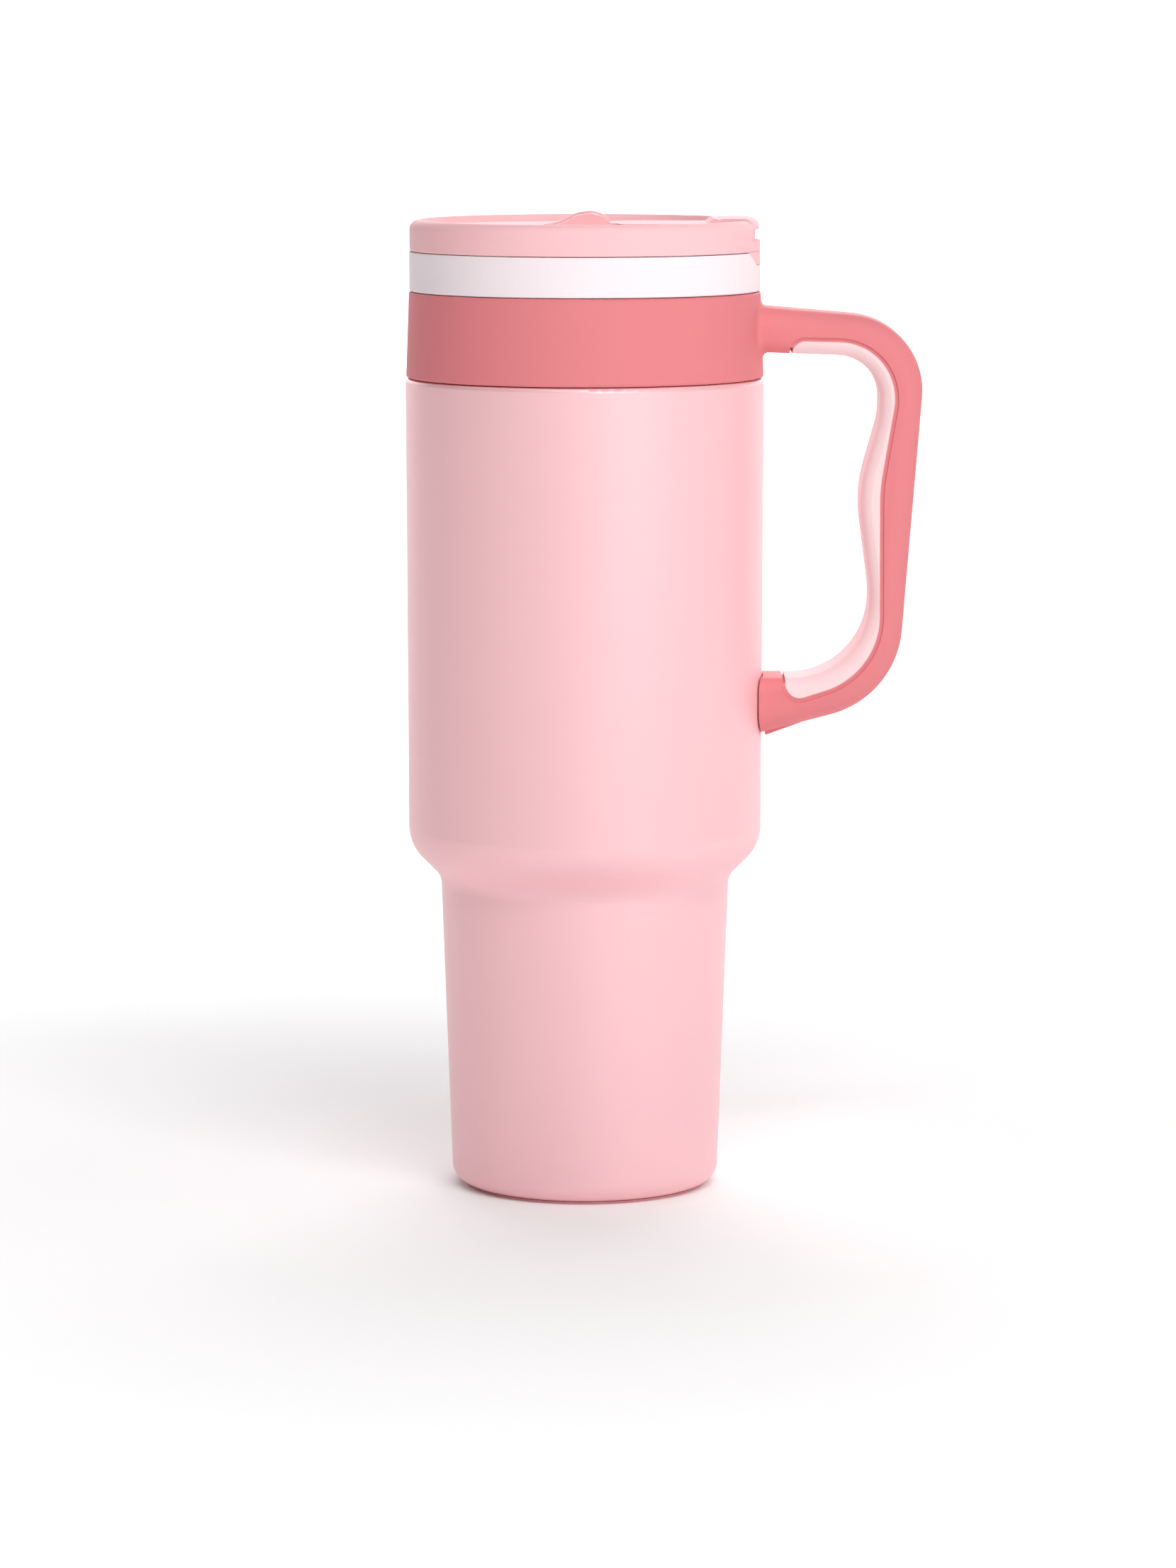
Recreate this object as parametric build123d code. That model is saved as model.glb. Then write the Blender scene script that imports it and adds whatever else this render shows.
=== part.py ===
from build123d import *
import os

# Insulated tumbler with a D handle and a screw-on lid with a hinged flip cover.
# Millimetres. Z is the cup's axis and z = 0 is what it stands on. The handle is towards +X.
# Outlines are lists of corners (across, up, fillet radius); the radius may be left out.

# ---------------------------------------------------------------- driving dimensions
# Outer wall
FOOT_R = 37.8            # wall radius, carried down to the floor
LOWER_TOP_R = 41.0       # wall radius under the shoulder
SHOULDER_LOW_Z = 89.1
SHOULDER_R = 50.07       # wall radius over the shoulder
SHOULDER_HIGH_Z = 98.2
BODY_TOP_R = 50.62
BODY_TOP_Z = 230.6
STEEL = 0.8              # steel sheet
SHELL_FLOOR_Z = 0.6      # the silicone pad under it reaches the floor
BASE_OPENING_R = 31.0    # opening in the bottom of the outer wall
PAD_R = 34.4

# Mouth
NECK_R = 46.2            # outside of the steel neck
NECK_TOP_Z = 249.4
VACUUM_GAP = 3.1         # between the two steel walls
LINER_FLOOR_Z = 7.2
RING_R = 42.8            # inside of the plastic mouth ring
RING_TOP_Z = 252.2
NECK_SEAL_T = 0.8

# Collar and handle
COLLAR_LOW_Z = 230.85
COLLAR_LOW_R = 50.42
COLLAR_TOP_Z = 254.9
COLLAR_TOP_R = 49.55
HANDLE_HALF_W = 12.4
HANDLE_ROUND = 6.4       # rounding of the handle's outer edges
FINGER_ROUND = 4.2       # rounding of its edges on the finger side
FOOT_LINE_X = 57.0       # a point on the underside of the handle's foot
FOOT_LINE_Z = 132.3
FOOT_LINE_SLOPE = 0.26
SADDLE_R = 50.6          # hollow end of the foot, round the body
ROOT_ROUND = 2.0         # fillet where the arm meets the collar
INSERT_TOP_X = 58.2      # ends of the grip insert
INSERT_LOW_X = 56.6
GROOVE_W = 1.1
GROOVE_D = 0.55
SEAM_ROUND = 0.5         # eased edge of the insert along its seam
SCREW_X = 53.8
SCREW_R = 1.6
SCREW_HEAD_R = 3.0
SCREW_HEAD_LOW_Z = 133.9
SCREW_HEAD_TOP_Z = 135.9
TAB_LOW_Z = 138.0        # tapped tab of the bracket
TAB_HIGH_Z = 139.6

# Lid
LID_R = 49.45
LID_LOW_Z = 255.1
LID_SEAM_Z = 266.25      # joint between the lid base and the cap
SEAM_HALF = 0.1
PLUG_R = 40.4
PLUG_FLOOR_Z = 238.0
DECK_Z = 273.2           # recessed top of the cap
RIM_Z = 275.0
CAP_R = 49.36
CAP_SKIN = 2.0
TROUGH_Z = 269.3         # floor of the trough under the flip cover
TROUGH_HALF_W = 14.7
PIN_X = 1.8
PIN_Z = 272.0
PIN_R = 1.5
SIP_X = 33.0             # sip duct
SIP_R = 5.0
VENT_X = 15.5            # vent duct
VENT_R = 1.5
DUCT_JOINT_LOW_Z = 263.0
DUCT_JOINT_HIGH_Z = 264.0

# Thread between the lid's plug and the mouth ring: one turn, crests just clear of each other
THREAD_PITCH = 6.0
THREAD_DEPTH = 1.0

# Flip cover
FLAP_TOP_Z = 274.2
FLAP_LOW_Z = 271.7
FLAP_HALF_W = 14.2
TAB_TOP_Z = 275.6
TAB_R = 48.96            # front of the thumb lip
SKIRT_R = 47.95          # front of the skirt that closes the notch in the rim
EAR_IN = 9.2             # ears of the hinge, measured from the middle
EAR_OUT = 14.6
KNUCKLE_HALF_W = 8.8
KNUCKLE_R = 4.6


# ---------------------------------------------------------------- helpers
def outline(corners):
    """Closed flat face in the XZ plane."""
    points = [(c[0], 0, c[1]) for c in corners]
    radii = [c[2] if len(c) > 2 else 0 for c in corners]
    if any(radii):
        return make_face(FilletPolyline(*points, radius=radii, close=True))
    return make_face(Polyline(*points, close=True))


def turned(corners):
    """Solid of revolution about Z."""
    return revolve(outline(corners), Axis.Z, 360)


def slab(corners, half_width):
    """XZ outline carried to both sides along Y."""
    return extrude(outline(corners), amount=half_width, both=True)


def tube(x, z_low, z_high, r_out, r_in=0):
    """Upright tube, or a rod if r_in is 0, standing on the X axis."""
    height = z_high - z_low
    solid = Pos(x, 0, z_low + height / 2) * Cylinder(r_out, height)
    if r_in:
        solid -= Pos(x, 0, z_low + height / 2) * Cylinder(r_in, height + 2)
    return solid


def block(x0, x1, y0, y1, z0, z1):
    """Box between two corners."""
    centre = Pos((x0 + x1) / 2, (y0 + y1) / 2, (z0 + z1) / 2)
    return centre * Box(x1 - x0, y1 - y0, z1 - z0)


def rod_across(x, z, radius, half_width):
    """Rod along Y."""
    return Pos(x, 0, z) * Rot(90, 0, 0) * Cylinder(radius, 2 * half_width)


def thread_ridge(radius, outward, z_low):
    """One turn of ridge on a wall of the given radius; outward is 1 or -1."""
    root, crest, sunk = 1.3, 0.5, 0.3
    path = Helix(THREAD_PITCH, THREAD_PITCH, radius, center=(0, 0, z_low))
    section = make_face(Polyline(
        (radius - outward * sunk, 0, z_low - root),
        (radius + outward * THREAD_DEPTH, 0, z_low - crest),
        (radius + outward * THREAD_DEPTH, 0, z_low + crest),
        (radius - outward * sunk, 0, z_low + root),
        close=True))
    return sweep(section, path=path, is_frenet=True)


def foot_line(x):
    """Height of the underside of the handle's foot."""
    return FOOT_LINE_Z + FOOT_LINE_SLOPE * (x - FOOT_LINE_X)


# ---------------------------------------------------------------- cup
def make_outer_shell():
    t = STEEL
    return turned([
        (BASE_OPENING_R, SHELL_FLOOR_Z),
        (FOOT_R, SHELL_FLOOR_Z, 5.0),
        (LOWER_TOP_R, SHOULDER_LOW_Z, 6.0),
        (SHOULDER_R, SHOULDER_HIGH_Z, 12.0),
        (BODY_TOP_R, BODY_TOP_Z, 1.3),
        (NECK_R, BODY_TOP_Z, 0.6),
        (NECK_R, NECK_TOP_Z),
        (NECK_R - t, NECK_TOP_Z),
        (NECK_R - t, BODY_TOP_Z - t, 0.6),
        (BODY_TOP_R - t, BODY_TOP_Z - t, 0.5),
        (SHOULDER_R - t, SHOULDER_HIGH_Z + t / 2, 11.2),
        (LOWER_TOP_R - t, SHOULDER_LOW_Z + t / 2, 6.8),
        (FOOT_R - t, SHELL_FLOOR_Z + t, 4.2),
        (BASE_OPENING_R, SHELL_FLOOR_Z + t),
    ])


def make_inner_liner():
    t = STEEL
    inset = STEEL + VACUUM_GAP
    neck = NECK_R - STEEL
    return turned([
        (0, LINER_FLOOR_Z - t),
        (FOOT_R - inset + 0.25, LINER_FLOOR_Z - t, 7.0),
        (LOWER_TOP_R - inset, SHOULDER_LOW_Z + 2, 9.0),
        (SHOULDER_R - inset, SHOULDER_HIGH_Z + 2, 9.0),
        (BODY_TOP_R - inset - 0.4, BODY_TOP_Z - 9, 3.0),
        (neck, BODY_TOP_Z - 2.5, 3.0),
        (neck, NECK_TOP_Z),
        (neck - t, NECK_TOP_Z),
        (neck - t, BODY_TOP_Z - 2.5, 3.0),
        (BODY_TOP_R - inset - 0.4 - t, BODY_TOP_Z - 9, 3.0),
        (SHOULDER_R - inset - t, SHOULDER_HIGH_Z + 2 + t / 2, 8.2),
        (LOWER_TOP_R - inset - t, SHOULDER_LOW_Z + 2 + t / 2, 9.8),
        (FOOT_R - inset + 0.25 - t, LINER_FLOOR_Z, 6.2),
        (0, LINER_FLOOR_Z),
    ])


PORT_R = 1.0
PORT_CUP_R = 3.2


def make_base_disc():
    """Shallow steel pan with the evacuation port in its middle."""
    top, t = 3.0, STEEL
    return turned([
        (PORT_R, top), (PORT_R, top - t), (PORT_CUP_R - 1, top - t), (PORT_CUP_R, top - t - 0.9),
        (PORT_CUP_R + 1.2, top - t - 0.9), (PORT_CUP_R + 1.2 + 0.9, top - t),
        (BASE_OPENING_R - t, top - t), (BASE_OPENING_R - t, SHELL_FLOOR_Z),
        (BASE_OPENING_R, SHELL_FLOOR_Z), (BASE_OPENING_R, top, 0.4),
    ])


def make_port_seal():
    """Bead that fills the cup round the port."""
    return turned([(0, 2.2), (PORT_CUP_R - 1, 2.2), (PORT_CUP_R - 0.25, 1.5, 0.2), (0, 1.5)])


def make_vacuum_getter():
    return tube(14, 3.0, 5.0, 5.0)


def make_base_pad():
    """Foot pad with two shallow rings; a rib keys it into the steel pan."""
    pad = turned([
        (0, 0), (PAD_R, 0, 0.25), (PAD_R, SHELL_FLOOR_Z), (BASE_OPENING_R - STEEL, SHELL_FLOOR_Z),
        (BASE_OPENING_R - STEEL, 1.2), (5.4, 1.2), (5.4, 0.9), (0, 0.9),
    ])
    for ring_r in (13.0, 24.0):
        pad -= turned([(ring_r, -1), (ring_r + 1.6, -1), (ring_r + 1.6, 0.35), (ring_r, 0.35)])
    return pad


def make_neck_ring():
    """Mouth ring: a flange over the mouth and a skirt with the lid's inner thread."""
    ring = turned([
        (RING_R, 234.0, 0.4), (44.4, 234.0, 0.4), (44.4, NECK_TOP_Z + NECK_SEAL_T),
        (48.4, NECK_TOP_Z + NECK_SEAL_T), (48.4, RING_TOP_Z, 0.5), (RING_R, RING_TOP_Z, 0.8),
    ])
    return ring + thread_ridge(RING_R, -1, 238.5)


def make_neck_seal():
    return turned([
        (44.6, NECK_TOP_Z), (NECK_R, NECK_TOP_Z),
        (NECK_R, NECK_TOP_Z + NECK_SEAL_T), (44.6, NECK_TOP_Z + NECK_SEAL_T),
    ])


# ---------------------------------------------------------------- handle
ROOT_X = 47.5            # the handle's ends start inside the collar's wall


def handle_bar():
    """The whole D, square-edged: outer line, then the finger side with its swell."""
    return slab([
        (ROOT_X, 251.0), (96.6, 246.8, 21.5), (88.2, 140.4, 27.0), (ROOT_X, foot_line(ROOT_X)),
        (ROOT_X, 146.3), (80.3, 146.3, 22.0), (80.3, 171.9, 30.0), (76.75, 198.5, 40.0),
        (82.9, 220.1, 24.0), (82.9, 236.95, 12.5), (ROOT_X, 238.2),
    ], HANDLE_HALF_W)


def insert_region():
    """Side view of the room for the grip insert, open towards the fingers."""
    return outline([
        (INSERT_TOP_X, 228.0), (INSERT_TOP_X, 241.5, 3.5), (87.0, 240.8, 16.0), (87.0, 223.6, 8.0),
        (83.0, 200.0, 50.0), (83.2, 147.7, 22.0), (INSERT_LOW_X, 139.2, 4.0), (INSERT_LOW_X, 160.0),
    ])


def long_side_edges(solid, outside):
    """Edges of the D's two side faces, on its outside or on its finger side."""
    found = []
    for edge in solid.edges():
        box = edge.bounding_box()
        middle = edge @ 0.5
        if abs(abs(middle.Y) - HANDLE_HALF_W) > 1e-3 or box.max.X < ROOT_X + 0.1:
            continue
        finger_side = 141 < middle.Z < 240 and middle.X < 83.2
        if finger_side != outside:
            found.append(edge)
    return found


def rounded_bar():
    """The D with its outer edges well rounded and its finger side eased."""
    bar = handle_bar()
    finger_middles = [edge @ 0.5 for edge in long_side_edges(bar, False)]
    bar = fillet(long_side_edges(bar, True), HANDLE_ROUND)
    finger_edges = [
        edge for edge in bar.edges()
        if any((edge @ 0.5 - middle).length < 0.05 for middle in finger_middles)
    ]
    return fillet(finger_edges, FINGER_ROUND)


def root_edges(solid):
    """Edges where the upper arm meets the outside of the collar's wall."""
    found = []
    for edge in solid.edges():
        box = edge.bounding_box()
        middle = edge @ 0.5
        across = (middle.X ** 2 + middle.Y ** 2) ** 0.5
        low_enough = 237 < box.min.Z and box.max.Z < 253
        if low_enough and box.max.X < 51.5 and box.min.X > 47.6 and across > 49.2:
            found.append(edge)
    return found


def make_handle_collar(bar, room):
    ring = turned([
        (NECK_R + 0.3, COLLAR_LOW_Z), (COLLAR_LOW_R, COLLAR_LOW_Z, 0.6),
        (COLLAR_TOP_R, COLLAR_TOP_Z, 0.6), (48.5, COLLAR_TOP_Z),
        (48.5, NECK_TOP_Z + NECK_SEAL_T), (NECK_R + 0.3, NECK_TOP_Z + NECK_SEAL_T),
    ])
    solid = ring + (bar - Pos(0, 0, 140) * Cylinder(SADDLE_R, 40))
    solid = fillet(root_edges(solid), ROOT_ROUND)
    solid -= extrude(room, amount=HANDLE_HALF_W + 1, both=True)
    # groove round the insert on both sides and across its two ends
    rim = offset(room, GROOVE_W)
    for side in (-1, 1):
        face_y = side * HANDLE_HALF_W
        solid -= extrude(Pos(0, face_y, 0) * rim, amount=GROOVE_D, both=True)
    solid -= block(INSERT_TOP_X - 0.7, INSERT_TOP_X, -13, 13, 230, 239.6)
    solid -= block(INSERT_LOW_X - 0.7, INSERT_LOW_X, -13, 13, 144.9, 160)
    # pocket for the bracket, screw holes and the seat of the cover
    solid -= block(SADDLE_R - 3, 52.2, -8.4, 8.4, 136.2, 144.0)
    solid -= block(SADDLE_R - 3, 57.4, -6.3, 6.3, TAB_LOW_Z - 0.3, TAB_HIGH_Z + 0.3)
    solid -= tube(SCREW_X, 128, SCREW_HEAD_TOP_Z, SCREW_HEAD_R + 0.3)
    solid -= tube(SCREW_X, SCREW_HEAD_TOP_Z - 1, 141.6, SCREW_R + 0.2)
    seat = [(51.1, -3), (61.1, -3), (61.1, 0.5), (51.1, 0.5)]
    solid -= slab([(x, foot_line(x) + dz) for x, dz in seat], 6.5)
    # room for the mouth ring's flange
    flange_low = NECK_TOP_Z + NECK_SEAL_T
    return solid - tube(0, flange_low, flange_low + 10, 48.5)


def make_grip_insert(bar, room):
    side_y = HANDLE_HALF_W - 0.15
    prism = extrude(room, amount=side_y, both=True)
    rims = [edge for edge in prism.edges() if abs(abs((edge @ 0.5).Y) - side_y) < 1e-3]
    return bar & fillet(rims, SEAM_ROUND)


def make_foot_cover():
    """Ribbed cover under the foot, proud at the body and flush at its far end."""
    corners = [(51.2, -1.1), (61.0, -0.1), (61.0, 0.5), (51.2, 0.5)]
    cover = slab([(x, foot_line(x) + dz) for x, dz in corners], 6.4)
    groove_w, groove_d = 0.7, 0.4
    for step in range(6):
        x = 52.6 + 1.35 * step
        z = foot_line(x) - 1.1 + (x - 51.2) / 9.8
        cover -= block(x, x + groove_w, -5.4, 5.4, z - 1, z + groove_d + 0.2)
    return cover


def make_handle_bracket():
    """Curved plate welded to the outer wall, with a tapped tab for the screw."""
    plate = turned([(50.3, 136.5), (51.6, 136.5), (51.6, 143.6), (50.3, 143.6)])
    plate &= block(40, 60, -8.0, 8.0, 130, 150)
    tab = block(50.8, 57.1, -6.0, 6.0, TAB_LOW_Z, TAB_HIGH_Z)
    tab = fillet(tab.edges().filter_by(Axis.Z).sort_by(Axis.X)[-2:], 2.5)
    return plate + tab - tube(SCREW_X, TAB_LOW_Z - 1, TAB_HIGH_Z + 1, SCREW_R)


def make_handle_screw():
    """Pan-head screw with a cross recess."""
    low, top = SCREW_HEAD_LOW_Z, SCREW_HEAD_TOP_Z
    head = turned([(0, low), (SCREW_HEAD_R, low, 0.8), (SCREW_HEAD_R, top), (0, top)])
    screw = Pos(SCREW_X, 0, 0) * head + tube(SCREW_X, top - 0.5, 141.2, SCREW_R)
    screw = chamfer(screw.edges().group_by(Axis.Z)[-1], 0.3)
    for turn in (0, 90):
        screw -= Pos(SCREW_X, 0, low + 0.4) * Rot(0, 0, turn) * Box(3.4, 0.7, 1.8)
    return screw


# ---------------------------------------------------------------- lid
def tongue_outline(grow):
    """Front view of the tongue that dips from the cap over the pale ring, in the YZ plane."""
    top, low = LID_SEAM_Z + 1.0, 262.7
    wide, narrow = 18.8, 11.8
    slope = (wide - narrow) / (LID_SEAM_Z - low)
    reach = wide + slope * 1.0
    points = [
        (0, -reach - grow, top), (0, -narrow - grow, low - grow),
        (0, narrow + grow, low - grow), (0, reach + grow, top),
    ]
    return make_face(FilletPolyline(*points, radius=[0, 1.4, 1.4, 0], close=True))


def tongue_block(grow, r_in, r_out):
    """The tongue's outline carried through the lid's wall between two radii."""
    low, high = 255.0, LID_SEAM_Z + SEAM_HALF
    ring = turned([(r_in, low), (r_out, low), (r_out, high), (r_in, high)])
    return ring & extrude(tongue_outline(grow), amount=60, dir=(1, 0, 0))


def make_lid_gasket():
    """Flat ring with a bead on its underside."""
    return turned([
        (42.0, 252.75), (43.4, 252.75, 0.1), (44.2, 252.45, 0.2), (45.0, 252.75, 0.1), (46.4, 252.75),
        (46.4, 254.9), (42.0, 254.9),
    ])


def make_lid_base():
    top = LID_SEAM_Z - SEAM_HALF
    base = turned([
        (0, PLUG_FLOOR_Z), (PLUG_R, PLUG_FLOOR_Z, 1.2), (PLUG_R, LID_LOW_Z),
        (LID_R, LID_LOW_Z, 0.5), (LID_R, top, 0.4), (46.95, top),
        (46.95, 257.9, 1.0), (38.4, 257.9, 0.6), (38.4, 240.0, 1.0), (0, 240.0),
    ])
    base += tube(SIP_X, PLUG_FLOOR_Z, DUCT_JOINT_LOW_Z, SIP_R + 1.6)
    base += tube(VENT_X, PLUG_FLOOR_Z, DUCT_JOINT_LOW_Z, VENT_R + 1.7)
    base -= tube(SIP_X, PLUG_FLOOR_Z - 1, DUCT_JOINT_LOW_Z + 1, SIP_R)
    base -= tube(VENT_X, PLUG_FLOOR_Z - 1, DUCT_JOINT_LOW_Z + 1, VENT_R)
    base += thread_ridge(PLUG_R, 1, 241.5)
    return base - tongue_block(0.15, 47.3, LID_R + 1)


def make_duct_seal(x, bore):
    """Silicone sleeve over the joint of a duct: a waist between the tubes and a skirt round them."""
    wall = 1.6 if bore == SIP_R else 1.7
    seal = tube(x, DUCT_JOINT_LOW_Z - 1.6, DUCT_JOINT_HIGH_Z + 1.6, bore + wall + 0.9, bore + wall)
    return seal + tube(x, DUCT_JOINT_LOW_Z, DUCT_JOINT_HIGH_Z, bore + wall + 0.5, bore)


def ear_outline():
    """Side view of a hinge ear with its fairing."""
    return [
        (-11.5, 272.0), (-11.5, 273.3), (-7.0, 273.9, 12.0), (-2.4, 276.5, 4.5),
        (1.6, 277.1, 4.5), (4.6, 276.4, 3.5), (7.6, 274.2, 1.0), (7.6, 268.0), (-4.0, 268.0),
    ]


def trough_space():
    """Everything that the trough, the hinge slot and the notch in the rim take away."""
    high = 280.0
    bay = block(7.4, 60, -TROUGH_HALF_W, TROUGH_HALF_W, TROUGH_Z, high)
    bay = fillet(bay.edges().filter_by(Axis.Z).sort_by(Axis.X)[:2], 1.6)
    slot = block(PIN_X, 12, -EAR_IN, EAR_IN, TROUGH_Z, high)
    slot += rod_across(PIN_X, PIN_Z, KNUCKLE_R + 0.6, EAR_IN)
    slot += block(-11.6, PIN_X, -EAR_IN, EAR_IN, 272.6, high)
    return bay + slot


def make_lid_cap():
    low = LID_SEAM_Z + SEAM_HALF
    cap = turned([
        (0, DECK_Z), (45.3, DECK_Z, 0.8), (46.3, RIM_Z, 0.4), (CAP_R, RIM_Z, 2.7),
        (CAP_R, low, 0.35), (46.7, low), (46.7, 260.0, 0.4), (45.0, 260.0, 0.4),
        (45.0, DECK_Z - CAP_SKIN, 0.6), (0, DECK_Z - CAP_SKIN),
    ])
    cap += tongue_block(0, 47.5, CAP_R)
    # body of the trough under the deck, deeper under the hinge
    cap += slab([
        (-6.2, 272.2), (-6.2, 266.2, 2), (-1.0, 265.0, 2), (5.0, 265.0, 2), (11.0, 267.6, 1.5),
        (45.8, 267.6), (45.8, 272.2)], TROUGH_HALF_W + 1.6)
    for side in (-1, 1):
        ear = slab(ear_outline(), (EAR_OUT - EAR_IN) / 2)
        cap += Pos(0, side * (EAR_OUT + EAR_IN) / 2, 0) * ear
    cap -= trough_space()
    cap -= rod_across(PIN_X, PIN_Z, PIN_R, EAR_OUT - 1.2)
    cap += tube(SIP_X, DUCT_JOINT_HIGH_Z, TROUGH_Z - 1, SIP_R + 1.6)
    cap += tube(VENT_X, DUCT_JOINT_HIGH_Z, TROUGH_Z - 1, VENT_R + 1.7)
    cap -= tube(SIP_X, DUCT_JOINT_HIGH_Z - 1, TROUGH_Z + 1, SIP_R)
    cap -= tube(VENT_X, DUCT_JOINT_HIGH_Z - 1, TROUGH_Z + 1, VENT_R)
    return cap


def make_hinge_pin():
    pin = rod_across(PIN_X, PIN_Z, PIN_R, EAR_OUT - 1.2)
    return chamfer(pin.edges().filter_by(GeomType.CIRCLE), 0.3)


# ---------------------------------------------------------------- flip cover
def make_flap():
    plate = block(9.4, 44.0, -FLAP_HALF_W, FLAP_HALF_W, FLAP_LOW_Z, FLAP_TOP_Z)
    plate = fillet(plate.edges().filter_by(Axis.Z).sort_by(Axis.X)[:2], 2.0)
    neck = slab([(PIN_X, FLAP_TOP_Z), (12, FLAP_TOP_Z), (12, FLAP_LOW_Z), (PIN_X + 2, 269.6)],
                KNUCKLE_HALF_W)
    front = turned([
        (30, FLAP_LOW_Z), (45.4, FLAP_LOW_Z), (45.4, 269.7, 0.4), (SKIRT_R, 269.7, 0.5),
        (SKIRT_R, 272.4), (TAB_R, 272.4, 0.4), (TAB_R, TAB_TOP_Z, 2.3), (30, TAB_TOP_Z),
    ])
    front &= slab([
        (34.0, 269), (34.0, FLAP_TOP_Z), (36.0, TAB_TOP_Z + 0.15, 0.5), (37.6, TAB_TOP_Z - 0.3, 0.6),
        (39.4, TAB_TOP_Z + 0.1, 0.8), (50, TAB_TOP_Z + 0.1), (50, 269)], FLAP_HALF_W)
    flap = plate + neck + rod_across(PIN_X, PIN_Z, KNUCKLE_R, KNUCKLE_HALF_W) + front
    return flap - rod_across(PIN_X, PIN_Z, PIN_R + 0.06, KNUCKLE_HALF_W + 1)


def make_flap_seal():
    """Stopper for the sip opening: a flange on the flap and a slightly tapered plug."""
    return Pos(SIP_X, 0, 0) * turned([
        (0, 267.9), (4.3, 267.9, 0.6), (4.6, 270.0), (7.2, 270.0, 0.3), (7.2, FLAP_LOW_Z),
        (0, FLAP_LOW_Z),
    ])


def make_vent_plug():
    return Pos(VENT_X, 0, 0) * turned([
        (0, 268.3), (1.0, 268.3, 0.3), (1.0, 270.4), (3.0, 270.4, 0.3), (3.0, FLAP_LOW_Z),
        (0, FLAP_LOW_Z),
    ])


# ---------------------------------------------------------------- write the parts
def main():
    bar = rounded_bar()
    room = insert_region()
    parts = {
        "outer_shell": make_outer_shell(),
        "inner_liner": make_inner_liner(),
        "base_disc": make_base_disc(),
        "port_seal": make_port_seal(),
        "vacuum_getter": make_vacuum_getter(),
        "base_pad": make_base_pad(),
        "neck_ring": make_neck_ring(),
        "neck_seal": make_neck_seal(),
        "handle_collar": make_handle_collar(bar, room),
        "grip_insert": make_grip_insert(bar, room),
        "handle_bracket": make_handle_bracket(),
        "handle_screw": make_handle_screw(),
        "foot_cover": make_foot_cover(),
        "lid_gasket": make_lid_gasket(),
        "lid_base": make_lid_base(),
        "lid_cap": make_lid_cap(),
        "duct_seal": make_duct_seal(SIP_X, SIP_R),
        "vent_seal": make_duct_seal(VENT_X, VENT_R),
        "hinge_pin": make_hinge_pin(),
        "flap": make_flap(),
        "flap_seal": make_flap_seal(),
        "vent_plug": make_vent_plug(),
    }
    os.makedirs("parts", exist_ok=True)
    for name, solid in parts.items():
        export_step(solid, f"parts/{name}.step")
        print(name, round(solid.volume, 1), len(solid.solids()))


main()
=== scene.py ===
"""Looks of an insulated steel tumbler with a D handle and a screw-on lid with a flip cover."""

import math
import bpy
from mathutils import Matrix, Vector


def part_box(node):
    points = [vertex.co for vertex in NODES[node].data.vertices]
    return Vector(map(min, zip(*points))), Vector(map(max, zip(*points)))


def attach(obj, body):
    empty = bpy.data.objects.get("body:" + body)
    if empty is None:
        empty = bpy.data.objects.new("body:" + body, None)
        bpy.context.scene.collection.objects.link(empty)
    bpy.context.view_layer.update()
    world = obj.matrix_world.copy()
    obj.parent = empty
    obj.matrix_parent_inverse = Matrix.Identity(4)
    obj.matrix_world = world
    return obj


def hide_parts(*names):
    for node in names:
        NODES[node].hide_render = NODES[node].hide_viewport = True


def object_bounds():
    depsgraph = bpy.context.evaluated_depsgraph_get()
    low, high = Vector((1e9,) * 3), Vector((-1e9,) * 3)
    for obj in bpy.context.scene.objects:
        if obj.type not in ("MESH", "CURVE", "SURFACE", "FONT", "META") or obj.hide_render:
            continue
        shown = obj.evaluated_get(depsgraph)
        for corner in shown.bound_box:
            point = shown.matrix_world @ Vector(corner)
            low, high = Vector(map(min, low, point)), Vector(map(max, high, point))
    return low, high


bl_info = {
    "name": "Insulated tumbler",
    "version": (1, 0, 0),
    "blender": (4, 5, 0),
    "location": "View3D > Sidebar > Tumbler",
    "description": "Finishes, silicone seals and studio of an insulated tumbler with lid",
    "category": "Object",
}

import bmesh
import bpy
from mathutils import Vector

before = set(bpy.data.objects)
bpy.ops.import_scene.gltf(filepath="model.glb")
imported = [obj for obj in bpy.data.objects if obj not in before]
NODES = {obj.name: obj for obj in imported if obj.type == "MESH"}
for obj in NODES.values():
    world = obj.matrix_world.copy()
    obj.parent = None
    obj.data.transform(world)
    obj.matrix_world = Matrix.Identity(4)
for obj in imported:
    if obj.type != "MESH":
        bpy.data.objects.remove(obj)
CAD_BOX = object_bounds()
MM = 0.001
ROUND_STEPS = 5          # points on each rounded corner of a seal's outline
TURN_STEPS = 128         # steps round a seal
SHARP_ANGLE = math.radians(38)
MERGE_DISTANCE = 1e-7    # joins the points of a seal that lie on its axis
MIX_FIRST = 6            # colour sockets of a Mix node
MIX_SECOND = 7

LOOKS_UP_FROM = 0.93     # upright part of the normal where a polished top begins
LOOKS_UP_FULL = 0.99
TOP_COAT = 0.40          # weight of the gloss coat on a polished top

GLOW_NEAR_PAINTED_SHADOW = 0.05         # painted light from the backdrop paper's own glow; kept low under the tumbler as a painted shadow
GLOW_ROUND = 0.26        # painted light on the floor around it
GLOW_FAR = 0.72          # at the foot of the wall, which the lights don't reach
GLOW_HIGH = 1.45         # painted light added higher up the wall
NEAR_EDGE = 0.15         # distances from the tumbler where the glow changes, in metres
ROUND_EDGE = 0.5
FAR_EDGE = 3.5
HIGH_FROM = 0.5          # heights where the wall grows brighter, in metres
HIGH_FULL = 0.9
BEND_STEPS = 16          # facets of the backdrop's bend
SENSOR_HEIGHT = 36.0     # of the camera, in millimetres


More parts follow.
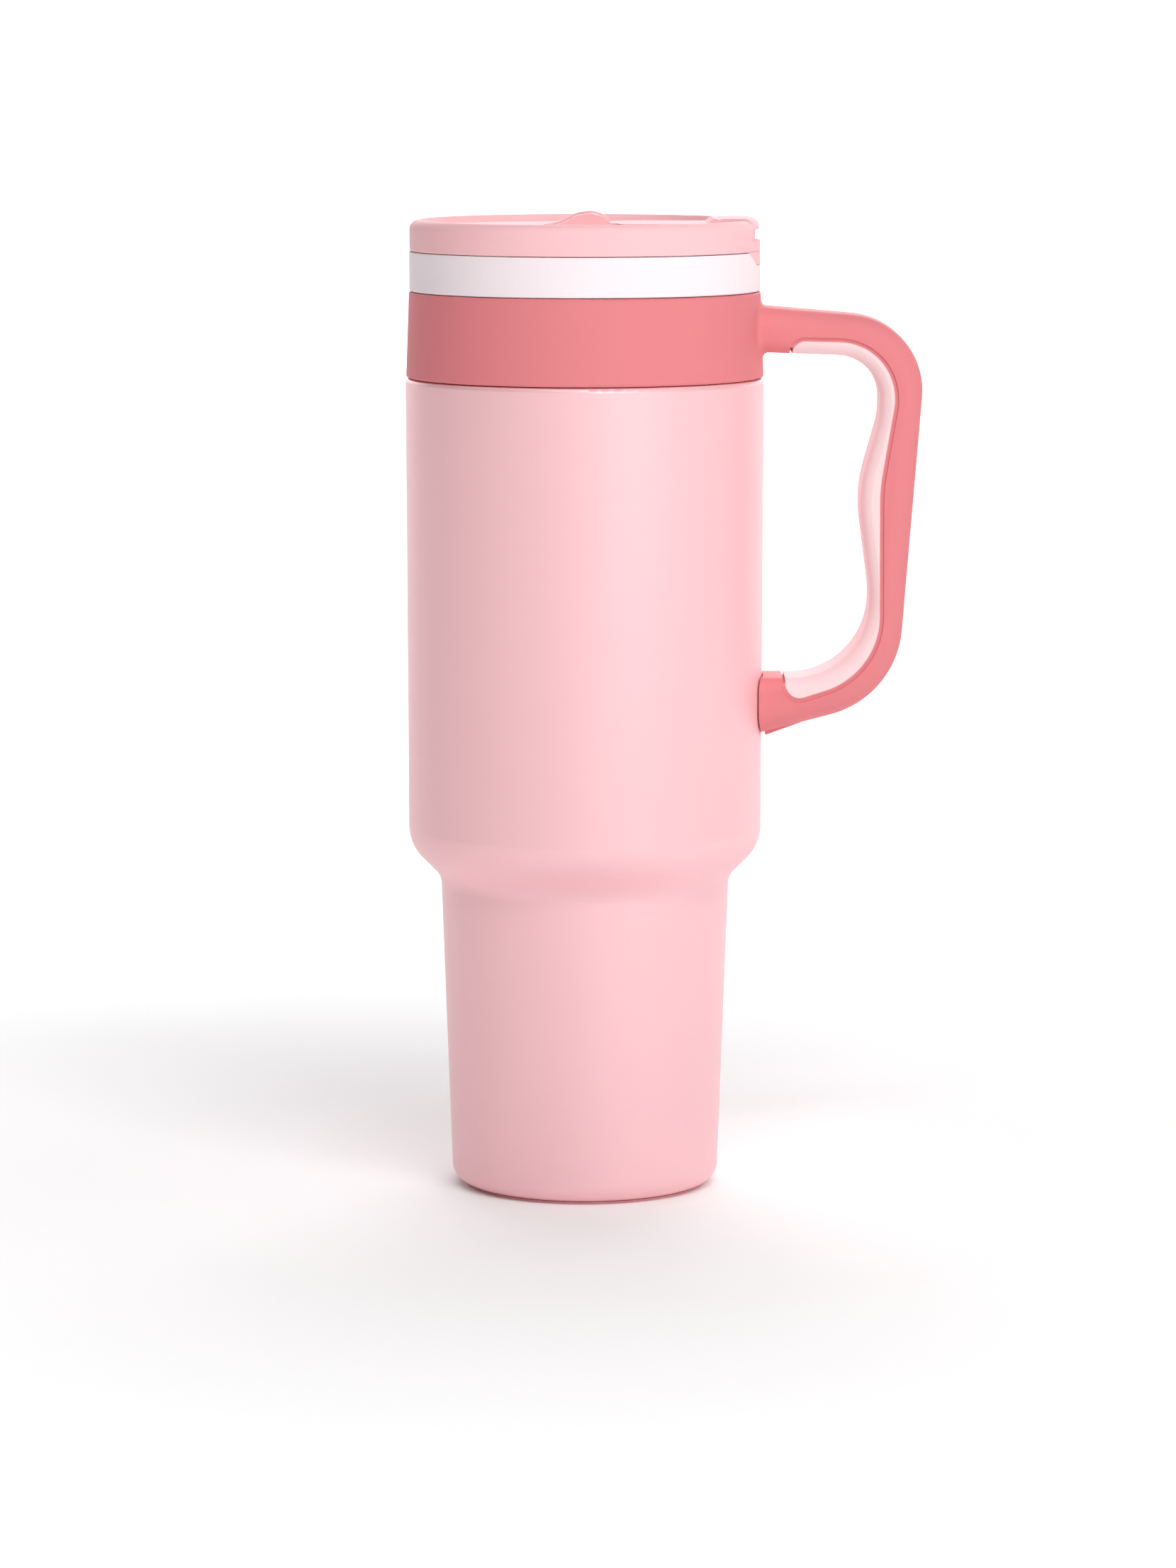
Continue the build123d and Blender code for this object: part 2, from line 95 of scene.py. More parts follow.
# ---------------------------------------------------------------- what a user may change
class TumblerColours(bpy.types.PropertyGroup):
    """Colours of the finishes, linear. No piece shows them: see make_materials."""

    body_coat: bpy.props.FloatVectorProperty(
        name="Body coat", description="Powder coat on the steel wall",
        default=(1.0, 0.305, 0.320), size=3, min=0, max=1, subtype="COLOR")
    cap: bpy.props.FloatVectorProperty(
        name="Lid cap", description="Moulded cap and flip cover",
        default=(0.98, 0.370, 0.380), size=3, min=0, max=1, subtype="COLOR")
    pale: bpy.props.FloatVectorProperty(
        name="Lid ring", description="Pale moulded base of the lid",
        default=(0.98, 0.600, 0.615), size=3, min=0, max=1, subtype="COLOR")
    rose: bpy.props.FloatVectorProperty(
        name="Collar and handle", description="Rose moulded collar, handle and mouth ring",
        default=(0.50, 0.063, 0.066), size=3, min=0, max=1, subtype="COLOR")
    grip: bpy.props.FloatVectorProperty(
        name="Grip insert", description="Soft-touch insert on the inside of the handle",
        default=(0.64, 0.44, 0.452), size=3, min=0, max=1, subtype="COLOR")
    silicone: bpy.props.FloatVectorProperty(
        name="Seals", description="Translucent silicone of the seals and stoppers",
        default=(0.83, 0.80, 0.79), size=3, min=0, max=1, subtype="COLOR")
    pad: bpy.props.FloatVectorProperty(
        name="Base pad", description="Silicone pad that the tumbler stands on",
        default=(0.62, 0.20, 0.22), size=3, min=0, max=1, subtype="COLOR")
    steel: bpy.props.FloatVectorProperty(
        name="Steel", description="Bare stainless steel",
        default=(0.63, 0.62, 0.60), size=3, min=0, max=1, subtype="COLOR")


class TumblerTexture(bpy.types.PropertyGroup):
    """Sizes of the fine texture of the finishes. No piece shows them: see make_materials."""

    coat_grain: bpy.props.FloatProperty(
        name="Coat grain", description="Width of one bump of the powder coat",
        default=0.45 * MM, min=0.05 * MM, max=5 * MM, unit="LENGTH", precision=5)
    mould_grain: bpy.props.FloatProperty(
        name="Mould grain", description="Width of one pit of the eroded mould surface",
        default=0.28 * MM, min=0.05 * MM, max=5 * MM, unit="LENGTH", precision=5)
    grip_grain: bpy.props.FloatProperty(
        name="Grip grain", description="Width of one pit of the soft-touch insert",
        default=0.35 * MM, min=0.05 * MM, max=5 * MM, unit="LENGTH", precision=5)
    brush_pitch: bpy.props.FloatProperty(
        name="Brush pitch", description="Spacing of the polishing lines round the steel",
        default=0.30 * MM, min=0.05 * MM, max=5 * MM, unit="LENGTH", precision=5)
    edge_width: bpy.props.FloatProperty(
        name="Edge wear", description="How far wear reaches from an edge",
        default=0.35 * MM, min=0.05 * MM, max=5 * MM, unit="LENGTH", precision=5)


class TumblerStudio(bpy.types.PropertyGroup):
    """Camera, lights and floor."""

    camera_place: bpy.props.FloatVectorProperty(
        name="Camera", description="Where the camera stands",
        default=(0.0009, -1.593, 0.3282), size=3, subtype="TRANSLATION", unit="LENGTH")
    camera_pitch: bpy.props.FloatProperty(
        name="Pitch", description="How far the camera looks down",
        default=math.radians(7.63), unit="ROTATION", subtype="ANGLE")
    lens: bpy.props.FloatProperty(
        name="Lens", description="Focal length on a sensor 36 mm high",
        default=129.5, min=10, max=500, unit="CAMERA")
    sky_left: bpy.props.FloatProperty(
        name="Room light, left", description="Strength of the room's light on its darker side",
        default=0.04, min=0, max=10)
    sky_right: bpy.props.FloatProperty(
        name="Room light, right", description="Strength of the room's light on its brighter side",
        default=0.31, min=0, max=10)
    key: bpy.props.FloatProperty(
        name="Key light", description="Power of the large soft light at the front right",
        default=19.8, min=0, max=1000, unit="POWER")
    back: bpy.props.FloatProperty(
        name="Back light", description="Power of the soft light behind and above the lid",
        default=20.0, min=0, max=1000, unit="POWER")
    strip: bpy.props.FloatProperty(
        name="Strip light", description="Power of the narrow light above the front, for highlights",
        default=14.0, min=0, max=1000, unit="POWER")
    top: bpy.props.FloatProperty(
        name="Top light", description="Power of the large soft light overhead",
        default=13.5, min=0, max=1000, unit="POWER")


GROUPS = (
    ("tumbler_colours", TumblerColours),
    ("tumbler_texture", TumblerTexture),
    ("tumbler_studio", TumblerStudio),
)


# ---------------------------------------------------------------- shader node helpers
def new_group(name, inputs, outputs):
    """Empty shader node group; inputs and outputs are (name, socket type, default)."""
    group = bpy.data.node_groups.new(name, "ShaderNodeTree")
    for in_out, sockets in (("INPUT", inputs), ("OUTPUT", outputs)):
        for socket_name, socket_type, default in sockets:
            socket = group.interface.new_socket(socket_name, in_out=in_out, socket_type=socket_type)
            if default is not None:
                socket.default_value = default
    return group, group.nodes.new("NodeGroupInput"), group.nodes.new("NodeGroupOutput")


def maths(tree, operation, first, second):
    """Math node; a value or a socket on either side."""
    node = tree.nodes.new("ShaderNodeMath")
    node.operation = operation
    for index, value in enumerate((first, second)):
        if isinstance(value, (int, float)):
            node.inputs[index].default_value = value
        else:
            tree.links.new(value, node.inputs[index])
    return node.outputs[0]


def spread(tree, value, low, high, to_low=0.0, to_high=1.0):
    """Maps a value from low..high to to_low..to_high, clamped."""
    node = tree.nodes.new("ShaderNodeMapRange")
    node.clamp = True
    node.inputs["From Min"].default_value = low
    node.inputs["From Max"].default_value = high
    node.inputs["To Min"].default_value = to_low
    node.inputs["To Max"].default_value = to_high
    tree.links.new(value, node.inputs["Value"])
    return node.outputs["Result"]


def scaled_place(tree, size_socket):
    """The surface point in the piece's own frame, divided by a size."""
    place = tree.nodes.new("ShaderNodeTexCoord")
    scale = tree.nodes.new("ShaderNodeVectorMath")
    scale.operation = "SCALE"
    tree.links.new(place.outputs["Object"], scale.inputs[0])
    tree.links.new(maths(tree, "DIVIDE", 1.0, size_socket), scale.inputs["Scale"])
    return scale.outputs["Vector"]


def noise(tree, vector, detail, roughness, scale):
    """Smooth noise of 0..1 over a place."""
    node = tree.nodes.new("ShaderNodeTexNoise")
    node.inputs["Scale"].default_value = scale
    node.inputs["Detail"].default_value = detail
    node.inputs["Roughness"].default_value = roughness
    tree.links.new(vector, node.inputs["Vector"])
    return node.outputs["Fac"]


# ---------------------------------------------------------------- shared effects
def orange_peel_group():
    """Skin of a sprayed powder: shallow rolling bumps with a finer tooth on them."""
    group, source, sink = new_group(
        "Orange Peel", [("Grain Size", "NodeSocketFloat", 0.0005)],
        [("Height", "NodeSocketFloat", None), ("Fleck", "NodeSocketFloat", None)])
    place = scaled_place(group, source.outputs["Grain Size"])
    rolling = noise(group, place, 1.0, 0.4, 0.45)
    tooth = noise(group, place, 3.0, 0.6, 1.6)
    height = maths(group, "ADD", maths(group, "MULTIPLY", rolling, 0.65),
                   maths(group, "MULTIPLY", tooth, 0.35))
    group.links.new(height, sink.inputs["Height"])
    group.links.new(spread(group, tooth, 0.58, 0.74), sink.inputs["Fleck"])
    return group


def moulded_grain_group():
    """Spark-eroded mould surface: small rounded pits of uneven depth."""
    group, source, sink = new_group(
        "Moulded Grain", [("Grain Size", "NodeSocketFloat", 0.0003)],
        [("Height", "NodeSocketFloat", None), ("Pits", "NodeSocketFloat", None)])
    place = scaled_place(group, source.outputs["Grain Size"])
    cells = group.nodes.new("ShaderNodeTexVoronoi")
    cells.feature = "SMOOTH_F1"
    cells.inputs["Scale"].default_value = 1.0
    cells.inputs["Smoothness"].default_value = 0.6
    group.links.new(place, cells.inputs["Vector"])
    uneven = noise(group, place, 2.0, 0.5, 0.35)
    height = maths(group, "MULTIPLY", cells.outputs["Distance"], uneven)
    group.links.new(height, sink.inputs["Height"])
    group.links.new(spread(group, height, 0.12, 0.38), sink.inputs["Pits"])
    return group


def tone_drift_group():
    """Colour that drifts a little over the surface, as pigment and thickness vary."""
    group, source, sink = new_group(
        "Tone Drift",
        [("Colour", "NodeSocketColor", (0.5, 0.5, 0.5, 1)), ("Patch Size", "NodeSocketFloat", 0.03),
         ("Amount", "NodeSocketFloat", 0.05)],
        [("Colour", "NodeSocketColor", None)])
    place = scaled_place(group, source.outputs["Patch Size"])
    patches = noise(group, place, 4.0, 0.55, 1.0)
    shift = maths(group, "MULTIPLY", maths(group, "SUBTRACT", patches, 0.5), source.outputs["Amount"])
    shade = group.nodes.new("ShaderNodeHueSaturation")
    group.links.new(maths(group, "ADD", 1.0, shift), shade.inputs["Value"])
    group.links.new(maths(group, "SUBTRACT", 1.0, shift), shade.inputs["Saturation"])
    group.links.new(source.outputs["Colour"], shade.inputs["Color"])
    group.links.new(shade.outputs["Color"], sink.inputs["Colour"])
    return group


def edge_rub_group():
    """Mask that is 1 where an edge has been rubbed, broken up along its length."""
    group, source, sink = new_group(
        "Edge Rub", [("Width", "NodeSocketFloat", 0.0004), ("Break-up Size", "NodeSocketFloat", 0.004)],
        [("Mask", "NodeSocketFloat", None)])
    soft = group.nodes.new("ShaderNodeBevel")
    soft.samples = 6
    group.links.new(source.outputs["Width"], soft.inputs["Radius"])
    flat = group.nodes.new("ShaderNodeNewGeometry")
    dot = group.nodes.new("ShaderNodeVectorMath")
    dot.operation = "DOT_PRODUCT"
    group.links.new(soft.outputs["Normal"], dot.inputs[0])
    group.links.new(flat.outputs["Normal"], dot.inputs[1])
    turned = maths(group, "SUBTRACT", 1.0, dot.outputs["Value"])
    place = scaled_place(group, source.outputs["Break-up Size"])
    broken = spread(group, noise(group, place, 5.0, 0.65, 1.0), 0.38, 0.62)
    mask = maths(group, "MULTIPLY", spread(group, turned, 0.02, 0.16), broken)
    group.links.new(mask, sink.inputs["Mask"])
    return group


def handling_group():
    """Faint smudges and hairline scuffs from hands and dishcloths, for roughness."""
    group, source, sink = new_group(
        "Handling", [("Smudge Size", "NodeSocketFloat", 0.02)],
        [("Smudges", "NodeSocketFloat", None), ("Scuffs", "NodeSocketFloat", None)])
    place = scaled_place(group, source.outputs["Smudge Size"])
    smudges = spread(group, noise(group, place, 5.0, 0.6, 1.0), 0.35, 0.7)
    stretch = group.nodes.new("ShaderNodeMapping")
    stretch.inputs["Rotation"].default_value = (0.3, 0.5, 0.9)
    stretch.inputs["Scale"].default_value = (1.2, 34.0, 9.0)
    group.links.new(place, stretch.inputs["Vector"])
    lines = noise(group, stretch.outputs["Vector"], 3.0, 0.5, 1.0)
    group.links.new(smudges, sink.inputs["Smudges"])
    group.links.new(spread(group, lines, 0.70, 0.80), sink.inputs["Scuffs"])
    return group


def turned_lines_group():
    """Fine polishing lines that run round the cup's axis."""
    group, source, sink = new_group(
        "Turned Lines", [("Pitch", "NodeSocketFloat", 0.0003)],
        [("Height", "NodeSocketFloat", None), ("Streaks", "NodeSocketFloat", None)])
    place = scaled_place(group, source.outputs["Pitch"])
    parts = group.nodes.new("ShaderNodeSeparateXYZ")
    group.links.new(place, parts.inputs[0])
    across = maths(group, "POWER", maths(
        group, "ADD", maths(group, "MULTIPLY", parts.outputs["X"], parts.outputs["X"]),
        maths(group, "MULTIPLY", parts.outputs["Y"], parts.outputs["Y"])), 0.5)
    joined = group.nodes.new("ShaderNodeCombineXYZ")
    group.links.new(across, joined.inputs["X"])
    group.links.new(parts.outputs["Z"], joined.inputs["Z"])
    group.links.new(maths(group, "MULTIPLY", parts.outputs["X"], 0.004), joined.inputs["Y"])
    lines = noise(group, joined.outputs["Vector"], 3.0, 0.7, 1.0)
    group.links.new(lines, sink.inputs["Height"])
    group.links.new(spread(group, lines, 0.3, 0.7), sink.inputs["Streaks"])
    return group


def make_effects():
    """Builds every shared effect once."""
    return {
        "peel": orange_peel_group(),
        "mould": moulded_grain_group(),
        "tone": tone_drift_group(),
        "rub": edge_rub_group(),
        "handling": handling_group(),
        "lines": turned_lines_group(),
    }


def effect(tree, name, **values):
    """Places a shared effect in a material; spaces in an input's name are written as underscores."""
    node = tree.nodes.new("ShaderNodeGroup")
    node.node_tree = effect.groups[name]
    for key, value in values.items():
        node.inputs[key.replace("_", " ")].default_value = value
    return node


effect.groups = {}


# ---------------------------------------------------------------- materials
def blank_material(name):
    material = bpy.data.materials.new(name)
    material.use_nodes = True
    tree = material.node_tree
    return material, tree, tree.nodes["Principled BSDF"]


def mixed(tree, mask, first, second):
    """Colour that goes from first to second by a mask."""
    node = tree.nodes.new("ShaderNodeMix")
    node.data_type = "RGBA"
    tree.links.new(mask, node.inputs["Factor"])
    for index, value in ((MIX_FIRST, first), (MIX_SECOND, second)):
        if isinstance(value, bpy.types.NodeSocket):
            tree.links.new(value, node.inputs[index])
        else:
            node.inputs[index].default_value = value
    return node.outputs[2]


def add_bump(tree, shader, height, depth):
    """Bump from a height of 0..1 that stands for this depth in metres."""
    bump = tree.nodes.new("ShaderNodeBump")
    bump.inputs["Distance"].default_value = depth
    bump.inputs["Strength"].default_value = 1.0
    tree.links.new(height, bump.inputs["Height"])
    tree.links.new(bump.outputs["Normal"], shader.inputs["Normal"])


def rgba(colour):
    return (*colour, 1.0)


def lighter(colour, amount):
    """The colour mixed with white."""
    return tuple(c + (1.0 - c) * amount for c in colour)


def powder_coat(name, colour, texture):
    """Satin powder coat, worn a little along its edges."""
    material, tree, shader = blank_material(name)
    tone = effect(tree, "tone", Colour=rgba(colour), Patch_Size=45 * MM, Amount=0.035)
    peel = effect(tree, "peel", Grain_Size=texture.coat_grain)
    rub = effect(tree, "rub", Width=texture.edge_width)
    hands = effect(tree, "handling", Smudge_Size=26 * MM)
    flecked = mixed(tree, maths(tree, "MULTIPLY", peel.outputs["Fleck"], 0.10),
                    tone.outputs["Colour"], rgba(lighter(colour, 0.5)))
    worn = mixed(tree, maths(tree, "MULTIPLY", rub.outputs["Mask"], 0.35),
                 flecked, rgba(lighter(colour, 0.35)))
    tree.links.new(worn, shader.inputs["Base Color"])
    rough = maths(tree, "ADD", 0.43, maths(tree, "MULTIPLY", hands.outputs["Smudges"], -0.05))
    rough = maths(tree, "ADD", rough, maths(tree, "MULTIPLY", peel.outputs["Fleck"], 0.06))
    tree.links.new(rough, shader.inputs["Roughness"])
    add_bump(tree, shader, peel.outputs["Height"], 0.012 * MM)
    shader.inputs["Specular IOR Level"].default_value = 0.32


def moulded_plastic(name, colour, texture, rough=0.42, through=0.0, specular=0.45, polished_top=0.0):
    """Satin polypropylene; through is how much light it scatters inside, and polished_top is how
    much smoother the faces are that look up, which also carry a thin gloss coat."""
    material, tree, shader = blank_material(name)
    tone = effect(tree, "tone", Colour=rgba(colour), Patch_Size=32 * MM, Amount=0.04)
    grain = effect(tree, "mould", Grain_Size=texture.mould_grain)
    rub = effect(tree, "rub", Width=texture.edge_width)
    hands = effect(tree, "handling", Smudge_Size=18 * MM)
    pitted = mixed(tree, maths(tree, "MULTIPLY", grain.outputs["Pits"], 0.06),
                   tone.outputs["Colour"], rgba(lighter(colour, 0.4)))
    worn = mixed(tree, maths(tree, "MULTIPLY", rub.outputs["Mask"], 0.30),
                 pitted, rgba(lighter(colour, 0.30)))
    tree.links.new(worn, shader.inputs["Base Color"])
    gloss = maths(tree, "MULTIPLY", hands.outputs["Smudges"], -0.05)
    gloss = maths(tree, "ADD", gloss, maths(tree, "MULTIPLY", hands.outputs["Scuffs"], 0.05))
    gloss = maths(tree, "ADD", gloss, maths(tree, "MULTIPLY", rub.outputs["Mask"], -0.08))
    if polished_top:
        place = tree.nodes.new("ShaderNodeTexCoord")
        parts = tree.nodes.new("ShaderNodeSeparateXYZ")
        tree.links.new(place.outputs["Normal"], parts.inputs[0])
        looks_up = spread(tree, parts.outputs["Z"], LOOKS_UP_FROM, LOOKS_UP_FULL)
        gloss = maths(tree, "ADD", gloss, maths(tree, "MULTIPLY", looks_up, -polished_top))
        tree.links.new(maths(tree, "MULTIPLY", looks_up, TOP_COAT), shader.inputs["Coat Weight"])
        shader.inputs["Coat Roughness"].default_value = 0.15
    tree.links.new(maths(tree, "ADD", gloss, rough), shader.inputs["Roughness"])
    add_bump(tree, shader, grain.outputs["Height"], 0.010 * MM)
    shader.inputs["Specular IOR Level"].default_value = specular
    if through:
        shader.subsurface_method = "BURLEY"
        shader.inputs["Subsurface Weight"].default_value = through
        shader.inputs["Subsurface Radius"].default_value = (1.0, 0.55, 0.5)
        shader.inputs["Subsurface Scale"].default_value = 0.8 * MM


def soft_touch(name, colour, texture):
    """Matte elastomer moulded over the handle."""
    material, tree, shader = blank_material(name)
    tone = effect(tree, "tone", Colour=rgba(colour), Patch_Size=22 * MM, Amount=0.05)
    grain = effect(tree, "mould", Grain_Size=texture.grip_grain)
    rub = effect(tree, "rub", Width=texture.edge_width)
    hands = effect(tree, "handling", Smudge_Size=14 * MM)
    worn = mixed(tree, maths(tree, "MULTIPLY", rub.outputs["Mask"], 0.5),
                 tone.outputs["Colour"], rgba(lighter(colour, 0.45)))
    tree.links.new(worn, shader.inputs["Base Color"])
    rough = maths(tree, "ADD", 0.56, maths(tree, "MULTIPLY", hands.outputs["Smudges"], -0.09))
    tree.links.new(rough, shader.inputs["Roughness"])
    add_bump(tree, shader, grain.outputs["Height"], 0.014 * MM)
    shader.inputs["Specular IOR Level"].default_value = 0.35
    shader.inputs["Sheen Weight"].default_value = 0.10
    shader.inputs["Sheen Roughness"].default_value = 0.45


def silicone(name, colour, texture, through):
    """Matte silicone rubber with a faint bloom and a little dust."""
    material, tree, shader = blank_material(name)
    tone = effect(tree, "tone", Colour=rgba(colour), Patch_Size=12 * MM, Amount=0.06)
    grain = effect(tree, "peel", Grain_Size=texture.mould_grain)
    hands = effect(tree, "handling", Smudge_Size=8 * MM)
    bloom = mixed(tree, maths(tree, "MULTIPLY", hands.outputs["Smudges"], 0.12),
                  tone.outputs["Colour"], rgba(lighter(colour, 0.4)))
    tree.links.new(bloom, shader.inputs["Base Color"])
    rough = maths(tree, "ADD", 0.46, maths(tree, "MULTIPLY", hands.outputs["Smudges"], 0.14))
    tree.links.new(rough, shader.inputs["Roughness"])
    add_bump(tree, shader, grain.outputs["Height"], 0.006 * MM)
    shader.subsurface_method = "BURLEY"
    shader.inputs["Subsurface Weight"].default_value = through
    shader.inputs["Subsurface Radius"].default_value = (1.0, 0.9, 0.85)
    shader.inputs["Subsurface Scale"].default_value = 1.0 * MM
    shader.inputs["Sheen Weight"].default_value = 0.08


def bare_steel(name, colour, texture, rough):
    """Stainless steel with polishing lines round the axis."""
    material, tree, shader = blank_material(name)
    tone = effect(tree, "tone", Colour=rgba(colour), Patch_Size=30 * MM, Amount=0.08)
    lines = effect(tree, "lines", Pitch=texture.brush_pitch)
    rub = effect(tree, "rub", Width=texture.edge_width)
    hands = effect(tree, "handling", Smudge_Size=20 * MM)
    streaked = mixed(tree, maths(tree, "MULTIPLY", lines.outputs["Streaks"], 0.25),
                     tone.outputs["Colour"], rgba(lighter(colour, 0.35)))
    bright = mixed(tree, maths(tree, "MULTIPLY", rub.outputs["Mask"], 0.4),
                   streaked, rgba(lighter(colour, 0.6)))
    tree.links.new(bright, shader.inputs["Base Color"])
    gloss = maths(tree, "ADD", rough, maths(tree, "MULTIPLY", lines.outputs["Streaks"], 0.12))
    gloss = maths(tree, "ADD", gloss, maths(tree, "MULTIPLY", hands.outputs["Smudges"], 0.06))
    tree.links.new(gloss, shader.inputs["Roughness"])
    add_bump(tree, shader, lines.outputs["Height"], 0.004 * MM)
    shader.inputs["Metallic"].default_value = 1.0


def sintered(name, colour, texture, rough):
    """Rough pressed tablet or cured resin bead."""
    material, tree, shader = blank_material(name)
    tone = effect(tree, "tone", Colour=rgba(colour), Patch_Size=2 * MM, Amount=0.35)
    grain = effect(tree, "mould", Grain_Size=texture.coat_grain)
    pitted = mixed(tree, maths(tree, "MULTIPLY", grain.outputs["Pits"], 0.4),
                   tone.outputs["Colour"], rgba(lighter(colour, 0.3)))
    tree.links.new(pitted, shader.inputs["Base Color"])
    tree.links.new(maths(tree, "ADD", rough, maths(tree, "MULTIPLY", grain.outputs["Pits"], 0.2)),
                   shader.inputs["Roughness"])
    add_bump(tree, shader, grain.outputs["Height"], 0.05 * MM)


def make_materials(colours, texture):
    """Makes every finish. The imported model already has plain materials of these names, so Blender
    stores these as body_coat.001 and so on. The operators look materials up by the plain name, so
    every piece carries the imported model's material, and none of these finishes is seen. To use
    them, the operators have to take the materials made here, and the colours have to be matched
    anew, because they were chosen while they had no effect."""
    powder_coat("body_coat", colours.body_coat, texture)
    moulded_plastic("plastic_pink", colours.cap, texture, rough=0.36, through=0.10, polished_top=0.24)
    moulded_plastic("plastic_pale", colours.pale, texture, through=0.15)
    moulded_plastic("plastic_rose", colours.rose, texture, rough=0.30, specular=0.6)
    soft_touch("grip_pale", colours.grip, texture)
    silicone("silicone_clear", colours.silicone, texture, 0.35)
    silicone("silicone_rose", colours.pad, texture, 0.10)
    bare_steel("steel", colours.steel, texture, 0.22)
    bare_steel("screw_steel", colours.steel, texture, 0.16)
    sintered("resin", (0.42, 0.33, 0.20), texture, 0.35)
    sintered("getter", (0.10, 0.10, 0.11), texture, 0.70)


def finish(node_name, material):
    """Puts a material on a CAD node."""
    slots = NODES[node_name].data.materials
    slots.clear()
    slots.append(material)


# ---------------------------------------------------------------- turned silicone pieces
def rounded_outline(corners):
    """Closed outline of (radius, height, fillet) corners in millimetres, with the fillets worked in."""
    points = []
    for index, (x, z, fillet) in enumerate(corners):
        here = Vector((x, z))
        if not fillet:
            points.append(here)
            continue
        before = Vector(corners[index - 1][:2]) - here
        after = Vector(corners[(index + 1) % len(corners)][:2]) - here
        half = before.angle(after) / 2
        reach = fillet / math.tan(half)
        centre = here + (before.normalized() + after.normalized()).normalized() * (fillet / math.sin(half))
        start = here + before.normalized() * reach - centre
        end = here + after.normalized() * reach - centre
        sweep = start.angle_signed(end)
        for step in range(ROUND_STEPS + 1):
            angle = -sweep * step / ROUND_STEPS
            turned = Vector((start.x * math.cos(angle) - start.y * math.sin(angle),
                             start.x * math.sin(angle) + start.y * math.cos(angle)))
            points.append(centre + turned)
    return points


def turned_piece(name, corners, material, node, body, centre_x=0.0):
    """Solid of revolution about an upright axis; it stands for a CAD node and rides on its body."""
    outline = rounded_outline(corners)
    form = bmesh.new()
    rings = []
    for step in range(TURN_STEPS):
        angle = 2 * math.pi * step / TURN_STEPS
        rings.append([
            form.verts.new((centre_x * MM + p.x * MM * math.cos(angle), p.x * MM * math.sin(angle), p.y * MM))
            for p in outline])
    count = len(outline)
    for step, ring in enumerate(rings):
        following = rings[(step + 1) % TURN_STEPS]
        for index in range(count):
            after = (index + 1) % count
            if outline[index].x < 1e-6 and outline[after].x < 1e-6:
                continue
            form.faces.new((ring[index], following[index], following[after], ring[after]))
    bmesh.ops.remove_doubles(form, verts=form.verts, dist=MERGE_DISTANCE)
    bmesh.ops.recalc_face_normals(form, faces=form.faces)
    mesh = bpy.data.meshes.new(name)
    form.to_mesh(mesh)
    form.free()
    mesh.shade_smooth()
    mesh.set_sharp_from_angle(angle=SHARP_ANGLE)
    mesh.materials.append(material)
    piece = bpy.data.objects.new(name, mesh)
    bpy.context.scene.collection.objects.link(piece)
    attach(piece, body)
    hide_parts(node)


def spans(node):
    """(centre x, outer radius, lowest z, highest z) of an upright round CAD node, in millimetres."""
    low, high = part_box(node)
    return (low.x + high.x) / 2 / MM, (high.x - low.x) / 2 / MM, low.z / MM, high.z / MM


def base_pad_piece(material):
    """Foot pad with two soft-edged rings pressed into its underside."""
    _, outer, low, high = spans("base_pad")
    rib, well = 30.2, 5.4
    corners = [(0, low, 0)]
    for ring in (13.0, 24.0):
        corners += [(ring, low, 0.12), (ring + 0.1, low + 0.35, 0.1),
                    (ring + 1.5, low + 0.35, 0.1), (ring + 1.6, low, 0.12)]
    corners += [(outer, low, 0.25), (outer, 0.6, 0.05), (rib, 0.6, 0.05), (rib, high, 0.05),
                (well, high, 0.1), (well, high - 0.3, 0.1), (0, high - 0.3, 0)]
    turned_piece("base_pad_silicone", corners, material, "base_pad", "cup")


def lid_gasket_piece(material):
    """Ring with a sealing bead below and a shallow groove in each side."""
    _, outer, low, high = spans("lid_gasket")
    inner, bead, under = 42.0, 44.2, low + 0.31
    middle = (under + high) / 2
    corners = [
        (inner, under, 0.25), (bead - 0.8, under, 0.12), (bead - 0.25, low, 0.22), (bead + 0.25, low, 0.22),
        (bead + 0.8, under, 0.12), (outer, under, 0.25), (outer, middle - 0.5, 0.12),
        (outer - 0.35, middle, 0.15), (outer, middle + 0.5, 0.12), (outer, high, 0.25),
        (inner, high, 0.25), (inner, middle + 0.5, 0.12), (inner + 0.35, middle, 0.15),
        (inner, middle - 0.5, 0.12)]
    turned_piece("lid_gasket_ring", corners, material, "lid_gasket", "gasket")


def neck_seal_piece(material):
    """Flat washer with eased edges."""
    _, outer, low, high = spans("neck_seal")
    inner = 44.6
    corners = [(inner, low, 0.15), (outer, low, 0.15), (outer, high, 0.15), (inner, high, 0.15)]
    turned_piece("neck_seal_washer", corners, material, "neck_seal", "cup")


def duct_sleeve_piece(name, node, bore, material):
    """Sleeve over a duct's joint: a waist between the two tubes and a skirt with rolled ends."""
    x, outer, low, high = spans(node)
    wall = outer - 0.9
    corners = [
        (wall, low, 0.2), (outer, low, 0.3), (outer, high, 0.3), (wall, high, 0.2),
        (wall, high - 1.6, 0), (bore, high - 1.6, 0.12), (bore, low + 1.6, 0.12), (wall, low + 1.6, 0)]
    turned_piece(name, corners, material, node, "lid", x)


def sip_stopper_piece(material):
    """Stopper with a soft flange and a slightly tapered plug with a wiping lip."""
    x, outer, low, high = spans("flap_seal")
    corners = [
        (0, low, 0), (4.25, low, 0.6), (4.35, low + 0.7, 0.2), (4.6, low + 1.0, 0.15),
        (4.4, low + 1.4, 0.2), (4.55, low + 2.1, 0.3), (outer, low + 2.1, 0.3), (outer, high, 0.2),
        (0, high, 0)]
    turned_piece("sip_stopper", corners, material, "flap_seal", "flip_cover", x)


